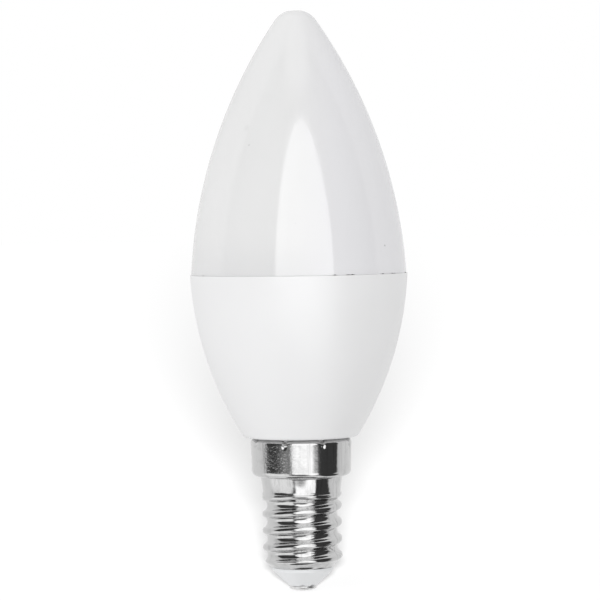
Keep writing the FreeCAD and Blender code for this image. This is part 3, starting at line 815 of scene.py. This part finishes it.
@dataclass
class ScrewShell:
    """Rolled cap of thin sheet: curled rim, staked collar, neck, thread and turned-in lip."""

    height: float = 25.9
    wall: float = 0.3
    collar_top: float = 8.55
    collar_low: float = 8.4
    collar_base: float = 19.4
    collar_edge: float = 1.0
    rim_curl: float = 0.8
    crest: float = 6.75
    depth: float = 0.8
    crest_share: float = 0.42
    pitch: float = THREAD_PITCH
    groove_height: float = 15.8
    neck_line: float = 16.5
    neck_ease: float = 0.8
    neck_waist: float = 6.57
    neck_middle: float = 6.69
    neck_middle_height: float = 17.9
    neck_top: float = 6.97
    lip: float = LIP_RADIUS
    lip_height: float = 3.95
    lip_edge: float = 0.1
    curl_top: float = 5.5
    curl_power: float = 1.5
    fade_power: float = 0.7
    bore_shoulder: float = 18.2
    bore_foot: float = 4.8
    stake_base: float = 1.2
    stakes: Stakes = Stakes()
    outer_step: Step = Step(0.13, 0.11, 19.0, 1)
    inner_step: Step = Step(0.25, 0.9, 23.2, 1)
    columns: int = 320
    # The crease near the bottom: azimuths from the front in degrees, and heights of its two ends
    crease: tuple[float, float, float, float] = (44.0, 7.55, 84.0, 5.75)
    crease_fade: float = 0.5
    # Its folds: distance above its line, height and width
    folds: tuple[tuple[float, float, float], ...] = (
        (0.22, 0.07, 0.13), (0.0, -0.09, 0.13), (-0.24, 0.05, 0.12))

    def section(self, from_crest: np.ndarray) -> np.ndarray:
        """Radius at a distance from the crest: a tight arc that meets the groove's wider arc.

        The two radii together are the half pitch squared plus the depth squared, over twice the depth.

        Args:
            from_crest: Distance along the axis from the crest, up to half the pitch.

        Returns:
            The radius there.
        """
        run = self.pitch / 2
        whole = (run**2 + self.depth**2) / (2 * self.depth)
        tight, wide = whole * self.crest_share, whole * (1 - self.crest_share)
        meet = run * self.crest_share
        away = np.clip(from_crest, 0.0, run)
        upper = self.crest - tight + np.sqrt(tight**2 - np.minimum(away, meet) ** 2)
        rest = np.minimum(run - away, run - meet)
        lower = self.crest - self.depth + wide - np.sqrt(wide**2 - rest**2)
        return np.where(away <= meet, upper, lower)

    def thread(self, theta: np.ndarray, height: np.ndarray) -> np.ndarray:
        """Radius of the right-hand thread, which runs out where its crest reaches the neck's edge.

        Args:
            theta: Angle of each grid point.
            height: Height of each grid point.

        Returns:
            The radius there.
        """
        phase = (height - self.groove_height) / self.pitch - theta / TURN
        from_groove = np.abs(phase - np.round(phase)) * self.pitch
        rolled = self.section(self.pitch / 2 - from_groove)
        below_neck = np.clip(self.neck_line - height, 0.0, None) * self.neck_ease
        edge = np.where(below_neck < self.pitch / 2, self.section(below_neck), 0.0)
        return np.maximum(rolled, edge)

    def curled(self, theta: np.ndarray, height: np.ndarray) -> np.ndarray:
        """Radius of the thread where it is turned in to the lip.

        The sheet draws in more and more and the groove loses its depth, neither going inside the lip.

        Args:
            theta: Angle of each grid point.
            height: Height of each grid point.

        Returns:
            The radius there.
        """
        share = np.clip((self.curl_top - height) / (self.curl_top - self.lip_height), 0.0, 1.0)
        depth = self.crest - self.thread(theta, height)
        drawn = (self.crest - self.lip) * share**self.curl_power
        return np.maximum(self.crest - depth * (1 - share) ** self.fade_power - drawn, self.lip)

    def crease_relief(self, theta: np.ndarray, height: np.ndarray) -> np.ndarray:
        """A fine double fold: bell curves across a straight line drawn on the unrolled sheet.

        Args:
            theta: Angle of each grid point.
            height: Height of each grid point.

        Returns:
            How far each point is raised.
        """
        first, top, last, low = self.crease
        start = np.array([math.radians(first) * self.crest, top])
        run = np.array([math.radians(last) * self.crest, low]) - start
        length = float(np.linalg.norm(run))
        around = azimuth_from(theta, FRONT) * self.crest - start[0]
        above = height - start[1]
        along = (around * run[0] + above * run[1]) / length
        across = (above * run[0] - around * run[1]) / length
        fade = self.crease_fade
        within = np.clip(along / fade, 0, 1) * np.clip((length - along) / fade, 0, 1)
        return within * sum(rise * bump(across - middle, width) for middle, rise, width in self.folds)

    def outer(self) -> np.ndarray:
        """Rows of the outside, from the lip's edge to the curled rim's edge.

        Returns:
            Radius and height of each point.
        """
        neck = [(self.lip, self.lip_height, 0.05), (self.lip, self.lip_height + self.lip_edge, 0.0),
                (self.crest, self.lip_height + 0.15, 0.0), (self.crest, self.neck_line - 0.25, 0.1),
                (self.neck_waist, self.neck_line + 0.2, 0.35),
                (self.neck_middle, self.neck_middle_height, 0.7),
                (self.neck_top, self.collar_base, 0.3)]
        edge = arc_corners((self.collar_low - self.collar_edge, self.collar_base + self.collar_edge),
                           self.collar_edge, -math.pi / 2, 0.0, 12)
        curl = arc_corners((self.collar_top - self.rim_curl, self.height - self.rim_curl), self.rim_curl,
                           0.0, math.pi / 2, 12)
        rows = rounded([(self.lip - self.wall, self.lip_height, 0.0)] + neck + edge + curl, closed=False)
        return refined(rows, self.outer_step, closed=False)

    def inner(self) -> np.ndarray:
        """Rows of the inside, from the rim's edge down to the lip's edge.

        Returns:
            Radius and height of each point.
        """
        bore = self.crest - self.depth - self.wall
        floor = self.collar_base + self.wall
        rows = [(self.collar_top - self.rim_curl, self.height - self.wall, 0.05),
                (self.collar_top - self.wall, self.height - self.rim_curl, 0.1),
                (self.collar_low - self.wall, self.collar_base + self.collar_edge, 0.3),
                (self.collar_low - self.collar_edge, floor, 0.3), (self.crest - self.wall, floor, 0.2),
                (self.crest - self.wall, self.bore_shoulder, 0.3),
                (bore, self.bore_shoulder - self.depth, 0.3), (bore, self.bore_foot, 0.3),
                (self.lip - self.wall, self.lip_height + self.wall, 0.05)]
        return refined(rounded(rows, closed=False), self.inner_step, closed=False)

    def build(self, nickel: Material) -> Piece:
        """Roll the thread, the stakes and the crease into the turned outline.

        Args:
            nickel: The shell's material.

        Returns:
            The shell.
        """
        outside, inside = self.outer(), self.inner()
        rows = np.concatenate([outside, inside])
        theta, radius, height = spread(rows, self.columns)
        skin = np.arange(len(rows))[:, None] < len(outside)
        threaded = skin & (height < self.neck_line) & (height > self.lip_height + self.lip_edge)
        rolled = self.curled(theta, height) + self.crease_relief(theta, height)
        radius = np.where(threaded, np.minimum(rolled, self.crest), radius)
        collar = height > self.collar_base + self.stake_base
        radius = radius - np.where(collar, self.stakes.dent(theta, radius, height), 0.0)
        height = height - np.where(collar, self.stakes.rim_drop(theta, radius, height), 0.0)
        piece = turned_mesh("rolled_shell", radius, height, Ending.RING)
        return dressed(piece, nickel, "screw_shell")


@dataclass
class CapBottom:
    """The pale insulating cone that the lip grips, and the nail-like end contact in it."""

    top: float = 8.2
    lip: float = LIP_RADIUS
    flange_base: float = 3.45
    lip_height: float = 3.93
    neck: float = 4.75
    shoulder: float = 5.55
    shoulder_height: float = 4.76
    tip: float = 2.5
    tip_height: float = 0.8
    bore: float = 0.95
    head: float = 2.3
    head_edge: float = 0.48
    flat: float = 0.8
    dome: float = 2.76
    stem: float = 0.9
    stem_top: float = 9.5
    cone_step: Step = Step(0.35, 0.35)
    contact_step: Step = Step(0.25, 0.25)
    columns: int = 192
    # Chips at the cone's lower edge: azimuth from the front, width and height
    chips: tuple[tuple[float, float, float], ...] = (
        (-2.0, 9.0, 0.22), (42.0, 7.0, 0.26), (150.0, 8.0, 0.2), (251.0, 6.0, 0.18))

    def build_cone(self, plastic: Material) -> Piece:
        """Turn the insulator's outline, and lift its lower edge at each small chip.

        Args:
            plastic: The insulator's material.

        Returns:
            The insulator.
        """
        corners = [(self.bore, self.tip_height, 0.05), (self.tip - 0.16, self.tip_height, 0.0),
                   (self.tip, self.tip_height + 0.1, 0.06), (self.lip, self.flange_base, 0.12),
                   (self.lip, self.lip_height, 0.04), (self.neck, self.lip_height, 0.03),
                   (self.neck, self.lip_height + 0.3, 0.05),
                   (self.shoulder, self.shoulder_height, 0.2), (self.shoulder, self.top, 0.2),
                   (self.bore, self.top, 0.1)]
        rows = refined(rounded(corners, closed=True), self.cone_step, closed=True)
        theta, radius, height = spread(rows, self.columns)
        edge = bump(radius - self.tip + 0.1, 0.25) * bump(height - self.tip_height, 0.25)
        for azimuth, width, rise in self.chips:
            away = np.degrees(azimuth_from(theta, FRONT + math.radians(azimuth)))
            height = height + rise * bump(away, width) * edge
        piece = turned_mesh("insulating_cone", radius, height, Ending.RING)
        return dressed(piece, plastic, "cap_insulator")

    def build_contact(self, metal: Material) -> Piece:
        """Turn the contact: a flat bottom, a shallow dome, the head's edge and the stem.

        Args:
            metal: The contact's material.

        Returns:
            The contact.
        """
        corners = [(0.0, 0.0, 0.0),
                   *arc_between((self.flat, 0.0), (self.head, self.head_edge), self.dome, 10),
                   (self.head, self.tip_height, 0.08), (self.stem, self.tip_height, 0.05),
                   (self.stem, self.stem_top, 0.2), (0.0, self.stem_top, 0.0)]
        rows = refined(rounded(corners, closed=False), self.contact_step, closed=False)
        _, radius, height = spread(rows, self.columns)
        piece = turned_mesh("end_contact", radius, height, Ending.POLES)
        return dressed(piece, metal, "contact_pin")


def dressed(piece: Piece, material: Material, node: str) -> Piece:
    """Give a new piece its material and its body, and hide the CAD node that it stands for.

    Args:
        piece: The new piece.
        material: Its material.
        node: The CAD node that it replaces.

    Returns:
        The piece.
    """
    piece.data.materials.append(material)
    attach(piece, "root")
    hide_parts(node)
    return piece


@dataclass
class LightEngine:
    """The inner parts, which keep their CAD shapes and get a finish each."""

    finishes: tuple[tuple[InnerFinish, tuple[str, ...]], ...] = (
        (InnerFinish("silicone", (0.86, 0.86, 0.84), (0.8, 0.8, 0.77), 0.5), ("diffuser_adhesive",)),
        (InnerFinish("pressed_aluminium", (0.78, 0.78, 0.79), (0.68, 0.68, 0.7), 0.32, 1.0),
         ("heat_sink",)),
        (InnerFinish("white_solder_mask", (0.88, 0.88, 0.86), (0.82, 0.82, 0.8), 0.35), ("led_board",)),
        (InnerFinish("emitter_resin", (0.86, 0.72, 0.2), (0.8, 0.64, 0.14), 0.4, 0.0, 900.0),
         tuple(f"led_{number}" for number in range(1, 9))),
        (InnerFinish("zinc_steel", (0.62, 0.62, 0.6), (0.5, 0.5, 0.49), 0.3, 1.0),
         ("led_board_screw_1", "led_board_screw_2")),
        (InnerFinish("board_laminate", (0.55, 0.45, 0.22), (0.47, 0.37, 0.17), 0.5), ("driver_board",)),
        (InnerFinish("black_plastic", (0.03, 0.03, 0.03), (0.05, 0.05, 0.05), 0.45),
         ("link_block", "bridge_rectifier", "driver_chip")),
        (InnerFinish("pin_brass", (0.75, 0.6, 0.3), (0.65, 0.5, 0.25), 0.25, 1.0),
         ("link_pin_1", "link_pin_2")),
        (InnerFinish("can_sleeve", (0.03, 0.04, 0.07), (0.05, 0.06, 0.1), 0.25),
         ("input_capacitor", "output_capacitor")),
        (InnerFinish("ferrite", (0.06, 0.06, 0.06), (0.1, 0.1, 0.1), 0.6), ("inductor_core",)),
        (InnerFinish("winding_enamel", (0.5, 0.2, 0.06), (0.4, 0.14, 0.04), 0.3, 0.4, 1500.0),
         ("inductor_winding",)),
        (InnerFinish("resistor_lacquer", (0.18, 0.35, 0.3), (0.14, 0.29, 0.25), 0.4), ("fuse_resistor",)),
        (InnerFinish("tinned_lead", (0.72, 0.72, 0.7), (0.6, 0.6, 0.59), 0.28, 1.0),
         ("live_wire", "neutral_wire")),
    )

    def dress(self, nodes: dict[str, Piece]) -> None:
        """Give each inner node its finish.

        Args:
            nodes: The frame's CAD nodes by name.
        """
        for finish, names in self.finishes:
            material = finish.make()
            for name in names:
                mesh = nodes[name].data
                mesh.materials.clear()
                mesh.materials.append(material)
                LOG.info("%s: CAD node in %s", name, finish.name)


# Studio


@dataclass(frozen=True)
class Patch:
    """A rounded patch of light or shade in the room, as a mirror sees it.

    Angles are in degrees: azimuth from the camera's side, positive to the right, and elevation. The patch
    leans by so many degrees of azimuth for each degree of elevation, and its edge is a share of its size.
    """

    azimuth: float
    elevation: float
    half_width: float
    half_height: float
    light: float
    edge: float = 0.1
    lean: float = 0.0
    power: float = 2.3

    def cover(self, graph: Graph, azimuth: Socket, elevation: Socket) -> Socket:
        """How much of the patch shows: the distance from its middle as the root of two summed powers.

        Args:
            graph: The world's graph.
            azimuth: The direction's azimuth in degrees.
            elevation: The direction's elevation in degrees.

        Returns:
            1 inside, falling to 0 across the edge.
        """
        rise = graph.maths("SUBTRACT", elevation, self.elevation)
        middle = graph.maths("ADD", graph.maths("MULTIPLY", rise, self.lean), self.azimuth)
        across = graph.maths("SUBTRACT", azimuth, middle)
        wide = graph.maths("ABSOLUTE", graph.maths("DIVIDE", across, self.half_width))
        tall = graph.maths("ABSOLUTE", graph.maths("DIVIDE", rise, self.half_height))
        total = graph.maths("ADD", graph.maths("POWER", wide, self.power),
                            graph.maths("POWER", tall, self.power))
        away = graph.maths("POWER", total, 1.0 / self.power)
        return graph.between(away, 1.0 - self.edge, 1.0 + self.edge, 1.0, 0.0)


@dataclass
class Studio:
    """Pale floor, soft lights, pale surroundings and the camera at the photograph's angle."""

    distance: float = 0.5
    eye_height: float = 0.064
    aim_height: float = 0.04907
    aim_across: float = 0.00015
    frame_height: float = 0.10135
    lean: float = 0.81
    key_energy: float = 1.3
    key_size: float = 0.34
    key_place: Colour = (-0.3, -0.65, 0.28)
    card_light: float = 1.75
    card_reach: float = 0.6
    shade_place: Colour = (0.0012, -0.5, 0.077)
    shade_size: float = 0.028
    shade_depth: float = 0.27
    shaded_place: Colour = (0.0, 0.33, 0.0)
    floor_albedo: float = 0.24
    floor_white: float = 1.01
    floor_drop: float = 0.00005
    floor_rings: tuple[float, ...] = (0.0, 0.06, 0.4, 1.5, 6.0)
    floor_columns: int = 96
    room_light: float = 0.81
    rear_light: float = 0.86
    source: Patch = Patch(6.3, 4.0, 31.0, 41.5, 1.6, 0.1, 0.0, 2.6)
    details: tuple[Patch, ...] = (
        # What the collar mirrors just below the horizon: shade on the left and an uneven source
        Patch(6.0, -4.6, 25.0, 3.2, 1.45, 0.3, 0.0, 5.0),
        Patch(-3.5, -4.6, 3.2, 3.2, 0.95, 0.6),
        Patch(14.5, -4.6, 2.4, 3.2, 1.05, 0.6),
        Patch(36.0, -4.6, 7.0, 5.0, 0.1, 0.8, 0.0, 5.0),
        Patch(-62.0, -6.5, 27.0, 7.0, 0.05, 0.25),
        Patch(-33.0, -4.6, 18.0, 3.6, 0.34, 0.7),
        # A dark gap beside the source and the shade under it, seen in the neck
        Patch(-22.0, -17.0, 4.5, 5.0, 0.15, 0.5),
        Patch(-3.0, -39.0, 20.0, 15.0, 0.2, 0.4),
    )
    patches: tuple[Patch, ...] = (
        # The dark sides of the room, left and right of the source, shading off to the left
        Patch(0.0, 12.0, 104.0, 60.0, 0.72, 0.15),
        Patch(2.0, 8.0, 91.0, 60.0, 0.05, 0.03),
        Patch(84.0, -42.0, 34.0, 17.0, 0.05, 0.2, -0.5),
        # The ceiling above the camera
        Patch(5.0, 74.0, 55.0, 22.0, 1.1, 0.25),
        Patch(0.0, 84.0, 120.0, 14.0, 1.1, 0.2, 0.0, 6.0),
        # Bright table in front, seen by what faces down
        Patch(-62.0, -30.0, 44.0, 21.0, 1.1, 0.2),
        Patch(-14.0, -31.0, 15.0, 16.0, 0.15, 0.3, 0.6),
        # Shade straight below, with a bright band of table round it
        Patch(0.0, -66.0, 110.0, 6.0, 1.1, 0.4),
        Patch(0.0, -90.0, 400.0, 19.0, 0.07, 0.1, 0.0, 6.0),
        # The source's lower part, which stands further to the right
        Patch(23.0, -18.0, 18.0, 26.0, 1.5, 0.16, -0.2),
    )

    def add_camera(self) -> None:
        """Place the camera, tipped so that the lamp leans as in the photograph."""
        eye = Vector((self.aim_across, -self.distance, self.eye_height))
        aim = Vector((self.aim_across, 0.0, self.aim_height))
        ahead = (aim - eye).normalized()
        right = ahead.cross(Vector((0, 0, 1))).normalized()
        above = right.cross(ahead)
        tip = math.radians(self.lean)
        up = above * math.cos(tip) + right * math.sin(tip)
        across = right * math.cos(tip) - above * math.sin(tip)
        data = bpy.data.cameras.new("camera")
        data.sensor_fit = "HORIZONTAL"
        data.angle = 2 * math.atan(self.frame_height / 2 / (aim - eye).length)
        data.clip_start = 0.01
        data.clip_end = 50.0
        camera = in_scene("camera", data)
        turned = Matrix((across, up, -ahead)).transposed().to_4x4()
        camera.matrix_world = Matrix.Translation(eye) @ turned
        bpy.context.scene.camera = camera

    def add_lamp(self, name: str, place: Colour, size: float, energy: float) -> Piece:
        """Hang a round soft lamp aimed at the middle of the object.

        Args:
            name: The lamp's name.
            place: Its place in metres.
            size: Its diameter in metres.
            energy: Its power in watts.

        Returns:
            The lamp.
        """
        data = bpy.data.lights.new(name, "AREA")
        data.shape = "DISK"
        data.size = size
        data.energy = energy
        lamp = in_scene(name, data)
        lamp.location = place
        aim = Vector((0.0, 0.0, self.aim_height)) - Vector(place)
        lamp.rotation_euler = aim.to_track_quat("-Z", "Y").to_euler()
        lamp.visible_glossy = False
        lamp.visible_camera = False
        return lamp

    def add_room(self) -> None:
        """Light the room evenly, with the patches for what mirrors it and white for the camera."""
        world = bpy.data.worlds.new("room")
        bpy.context.scene.world = world
        graph = Graph.empty(world)
        across, ahead, up = graph.split(graph.node("TexCoord").outputs["Generated"])
        turn = graph.maths("ARCTAN2", across, graph.maths("MULTIPLY", ahead, -1.0))
        azimuth = graph.maths("DEGREES", turn)
        elevation = graph.maths("DEGREES", graph.maths("ARCSINE", up))
        light = self.rear_light
        for patch in (*self.patches, self.source, *self.details):
            cover = patch.cover(graph, azimuth, elevation)
            light = graph.mix(cover, light, patch.light, "FLOAT")
        path = graph.node("LightPath")
        plain = graph.glow("Background", self.room_light)
        mirror = graph.glow("Background", light)
        white = graph.glow("Background", 1.0)
        seen = graph.blend(path.outputs["Is Glossy Ray"], plain, mirror)
        seen = graph.blend(path.outputs["Is Camera Ray"], seen, white)
        graph.node("OutputWorld", {"Surface": seen})

    def add_floor(self) -> Piece:
        """Lay a round pale floor under the contact, white to the camera but for the lamp's shadow.

        Its glow makes up what the room and the shading lamp leave to white. That lamp's part falls with
        the distance, because the floor lies ever flatter to it, and with the cosine off its axis.

        Returns:
            The floor.
        """
        columns = self.floor_columns
        theta = angles(columns)
        radius = np.array(self.floor_rings)[:, None]
        place = np.stack(np.broadcast_arrays(radius * np.cos(theta), radius * np.sin(theta),
                                             -self.floor_drop), axis=-1)
        row, column = np.arange(len(radius) - 1)[:, None], np.arange(columns)[None, :]
        onward = (column + 1) % columns
        quads = np.stack([row * columns + column, (row + 1) * columns + column,
                          (row + 1) * columns + onward, row * columns + onward], axis=-1)
        mesh = bpy.data.meshes.new("floor")
        mesh.from_pydata(place.reshape(-1, 3).tolist(), [], quads.reshape(-1, 4).tolist())
        mesh.update()
        floor = in_scene("floor", mesh)
        material = bpy.data.materials.new("pale_floor")
        graph = Graph.empty(material)
        path = graph.node("LightPath")
        where = graph.place()
        away = graph.node("VectorMath", {0: where, 1: self.shade_place}, operation="DISTANCE")
        away = away.outputs["Value"]
        _, ahead, _ = graph.split(where)
        forward = graph.maths("MAXIMUM", graph.maths("SUBTRACT", ahead, self.shade_place[1]), 0.0)
        facing = graph.maths("DIVIDE", forward, away)
        share = graph.maths("DIVIDE", self.shade_depth * self.shade_reach(), away)
        share = graph.maths("MULTIPLY", share, facing)
        albedo = self.floor_albedo
        own = self.floor_white - albedo * self.room_light
        bright = graph.glow("Emission", graph.maths("SUBTRACT", own, share))
        seen = graph.node("BsdfDiffuse", {"Color": (albedo, albedo, albedo)})
        both = graph.node("AddShader", {0: seen.outputs[0], 1: bright}).outputs[0]
        plain = graph.glow("Emission", self.room_light)
        shown = graph.blend(path.outputs["Is Camera Ray"], plain, both)
        clear = graph.node("BsdfTransparent").outputs[0]
        shown = graph.blend(path.outputs["Is Glossy Ray"], shown, clear)
        graph.node("OutputMaterial", {"Surface": shown})
        floor.data.materials.append(material)
        return floor

    def shade_reach(self) -> float:
        """The distance from the shading lamp to the place where its shadow has its stated depth."""
        return math.dist(self.shade_place, self.shaded_place)

    @staticmethod
    def light_only(lamp: Piece, pieces: list[Piece]) -> None:
        """Let a lamp light only some pieces.

        Args:
            lamp: The lamp.
            pieces: The pieces that receive it.
        """
        group = bpy.data.collections.new(lamp.name + "_receivers")
        for piece in pieces:
            group.objects.link(piece)
        lamp.light_linking.receiver_collection = group

    def add_shade(self, floor: Piece) -> None:
        """Hang a small lamp above the camera that only the floor receives, for the soft shadow behind.

        Its light doesn't fade with distance, and the floor's brightness from it is the depth wanted at
        a place behind the object.

        Args:
            floor: The floor.
        """
        height = self.shade_place[2]
        flux = self.shade_depth * self.shade_reach() / height * math.pi / self.floor_albedo
        lamp = self.add_lamp("shade", self.shade_place, self.shade_size, 1.0)
        graph = Graph.empty(lamp.data)
        even = graph.node("LightFalloff", {"Strength": flux * math.pi})
        glow = graph.glow("Emission", even.outputs["Constant"])
        graph.node("OutputLight", {"Surface": glow})
        self.light_only(lamp, [floor])

    def add_card(self, plastics: list[Piece]) -> None:
        """Stand a second layer of the source in front, which only the plastics mirror.

        Args:
            plastics: The pieces that mirror it.
        """
        azimuth, elevation = math.radians(self.source.azimuth), math.radians(self.source.elevation)
        reach = self.card_reach
        place = (reach * math.sin(azimuth), -reach * math.cos(azimuth),
                 self.aim_height + reach * math.tan(elevation))
        wide, tall = (2 * reach * math.tan(math.radians(half))
                      for half in (self.source.half_width, self.source.half_height))
        card = self.add_lamp("card", place, wide, self.card_light * math.pi**2 * wide * tall / 4)
        card.data.shape = "ELLIPSE"
        card.data.size_y = tall
        card.visible_glossy = True
        card.visible_diffuse = False
        self.light_only(card, plastics)

    def build(self, plastics: list[Piece]) -> None:
        """Set up the camera, the lights, the floor and the view.

        Args:
            plastics: The pieces that mirror the card.
        """
        self.add_camera()
        self.add_lamp("key", self.key_place, self.key_size, self.key_energy)
        self.add_card(plastics)
        self.add_room()
        self.add_shade(self.add_floor())
        bpy.context.scene.view_settings.view_transform = "Standard"


def main() -> None:
    """Build the lamp's pieces in order, report them, and set up the studio."""
    logging.basicConfig(level=logging.INFO, format="%(message)s")
    nickel = NickelPlate("nickel_plate", 0.075).make()
    worn = NickelPlate("worn_nickel", 0.3, (0.84, 0.84, 0.84), (0.68, 0.68, 0.68)).make()
    white = SatinPlastic("white_plastic", (0.87, 0.87, 0.875), (0.855, 0.855, 0.86)).make()
    pale = SatinPlastic("pale_insulator", (0.85, 0.86, 0.87), (0.83, 0.84, 0.85), 0.3).make()
    bottom = CapBottom()
    pieces = [
        Diffuser().build(OpalPlastic().make()),
        Housing().build(white),
        ScrewShell().build(nickel),
        bottom.build_cone(pale),
        bottom.build_contact(worn),
    ]
    for piece in pieces:
        LOG.info("%s: %d points, %d faces", piece.name, len(piece.data.vertices), len(piece.data.polygons))
    LightEngine().dress(frame["nodes"])
    Studio().build(pieces[:2])


if __name__ == "__main__":
    main()
